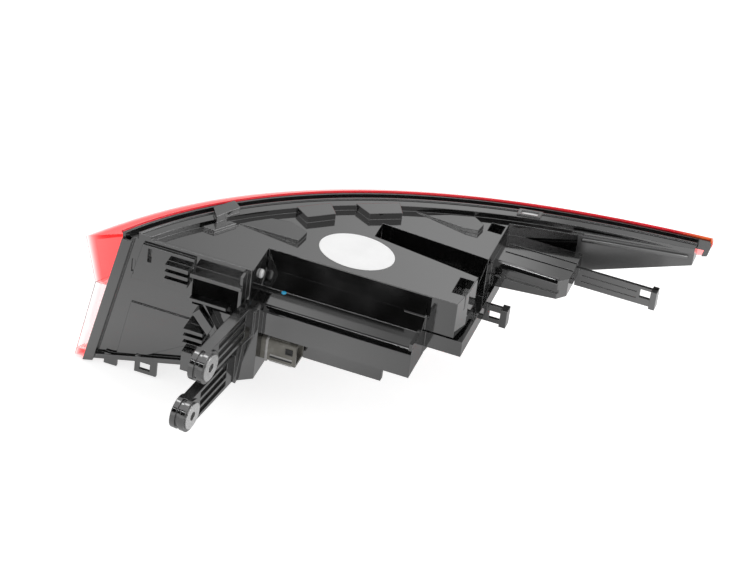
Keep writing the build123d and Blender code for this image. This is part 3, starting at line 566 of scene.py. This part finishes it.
share = addRamp(tree, along, [(step, grey(level)) for step, level in floorLook["shareSteps"]])
mirrorLift = addMath(tree, "MULTIPLY", farther, share)
glow = addMath(tree, "MULTIPLY_ADD", path.outputs["Is Glossy Ray"], mirrorLift, lift)
shader.inputs["Emission Color"].default_value = grey(1.0)
tree.links.new(glow, shader.inputs["Emission Strength"])
floor.data.materials.append(floorMat)

# white surroundings, brighter to look at than the light they give
worldLook = dict(colour=grey(1.0), light=0.6, seen=1.0)
world = bpy.data.worlds.new("studio")
scene.world = world
world.use_nodes = True
tree = world.node_tree
base = tree.nodes["Background"]
base.inputs["Color"].default_value = worldLook["colour"]
base.inputs["Strength"].default_value = worldLook["light"]
shown = tree.nodes.new("ShaderNodeBackground")
shown.inputs["Color"].default_value = worldLook["colour"]
shown.inputs["Strength"].default_value = worldLook["seen"]
path = tree.nodes.new("ShaderNodeLightPath")
seen = addMath(tree, "MAXIMUM", path.outputs["Is Camera Ray"], path.outputs["Is Glossy Ray"])
seen = addMath(tree, "MAXIMUM", seen, path.outputs["Is Transmission Ray"])
mix = tree.nodes.new("ShaderNodeMixShader")
tree.links.new(seen, mix.inputs["Fac"])
tree.links.new(base.outputs["Background"], mix.inputs[1])
tree.links.new(shown.outputs["Background"], mix.inputs[2])
tree.links.new(mix.outputs["Shader"], tree.nodes["World Output"].inputs["Surface"])

lampLooks = {
    "topSoft": dict(place=(-0.45, 0.75, 1.75), size=(1.0, 0.8), power=9.0),
    "rightSoft": dict(place=(1.7, 0.3, 0.8), size=(0.9, 0.9), power=9.0),
    "edgeStrip": dict(place=(-0.2, -1.15, 1.05), size=(1.5, 0.05), power=1.6),
}
aim = Vector((0.07, 0.12, 0.0))
for lampName, look in lampLooks.items():
    bpy.ops.object.light_add(type="AREA", location=look["place"])
    lamp = bpy.context.object
    lamp.name = lampName
    lamp.data.shape = "RECTANGLE"
    lamp.data.size, lamp.data.size_y = look["size"]
    lamp.data.energy = look["power"]
    lamp.rotation_euler = (aim - Vector(look["place"])).to_track_quat("-Z", "Y").to_euler()


def fadingLight(name, look):
    mat, tree, shader, place = dullMaterial(name, grey(0.0), 1.0)
    along = addRange(tree, splitPlace(tree, place)["X"], 0.0, 1.0, *look["fade"])
    steps = [(step, grey(level)) for step, level in look["steps"]]
    tree.links.new(addRamp(tree, along, steps), shader.inputs["Emission Color"])
    shader.inputs["Emission Strength"].default_value = look["strength"]
    return mat


# a flat sheet that is seen only in reflections
def addSheet(name, look, turn, mat):
    bpy.ops.object.select_all(action="DESELECT")
    bpy.ops.mesh.primitive_plane_add(size=1, location=look["place"], rotation=turn)
    sheet = bpy.context.object
    sheet.name = name
    sheet.scale = (*look["size"], 1)
    bpy.ops.object.transform_apply(location=True, rotation=True, scale=True)
    sheet.data.materials.append(mat)
    sheet.visible_camera = False
    sheet.visible_shadow = False
    sheet.visible_diffuse = False
    sheet.visible_transmission = False
    return sheet


# dark card on the camera's side
cardLook = dict(place=(-0.3, -1.4, 0.98), size=(2.2, 1.0), colour=grey(0.002))
cardTurn = (aim - Vector(cardLook["place"])).to_track_quat("Z", "Y").to_euler()
card = addSheet("darkCard", cardLook, cardTurn, dullMaterial("cardBlack", cardLook["colour"], 1.0)[0])

# grey scrim overhead, darker towards the right
scrimLook = dict(place=(-0.2, 0.75, 1.3), size=(1.5, 0.6), fade=(-0.31, -0.2), strength=1.0,
                 steps=[(0.0, 0.8), (1.0, 0.4)])
scrim = addSheet("scrim", scrimLook, (0, 0, 0), fadingLight("scrimGrey", scrimLook))

# soft backdrop behind the lamp, brightest left of the middle
backdropLook = dict(place=(0, 1.1, 0.7), size=(2.6, 1.6), fade=(-0.42, 0.08), strength=1.15,
                    steps=[(0.0, 0.59), (0.56, 0.95), (0.68, 1.0), (0.74, 1.0), (0.86, 0.45), (1.0, 0.6)])
backdrop = addSheet("backdrop", backdropLook, (math.pi / 2, 0, 0), fadingLight("backdropWhite", backdropLook))
print("floor, lamps, card and backdrop ready")


# camera at the photograph's angle
view = dict(right=(0.936, 0.336, 0.1032), up=(-0.2808, 0.5378, 0.7946), aimed=(0.0585, 0.13, 0.0344),
            away=2.5, pixelsPerMetre=1400.0, aimedPixel=(357.0, 252.0), middlePixel=(375.0, 281.0),
            lens=168.0, sensor=36.0, farthest=50)
right = Vector(view["right"]).normalized()
up = Vector(view["up"])
up = (up - right * up.dot(right)).normalized()
back = right.cross(up)
shiftRight = (view["aimedPixel"][0] - view["middlePixel"][0]) / view["pixelsPerMetre"]
shiftUp = (view["middlePixel"][1] - view["aimedPixel"][1]) / view["pixelsPerMetre"]
eye = Vector(view["aimed"]) + back * view["away"] - right * shiftRight - up * shiftUp
bpy.ops.object.camera_add()
camera = bpy.context.object
camera.name = "photoCamera"
camera.matrix_world = Matrix((
    (right.x, up.x, back.x, eye.x),
    (right.y, up.y, back.y, eye.y),
    (right.z, up.z, back.z, eye.z),
    (0, 0, 0, 1),
))
camera.data.lens = view["lens"]
camera.data.sensor_width = view["sensor"]
camera.data.clip_end = view["farthest"]
scene.camera = camera
print("camera set")
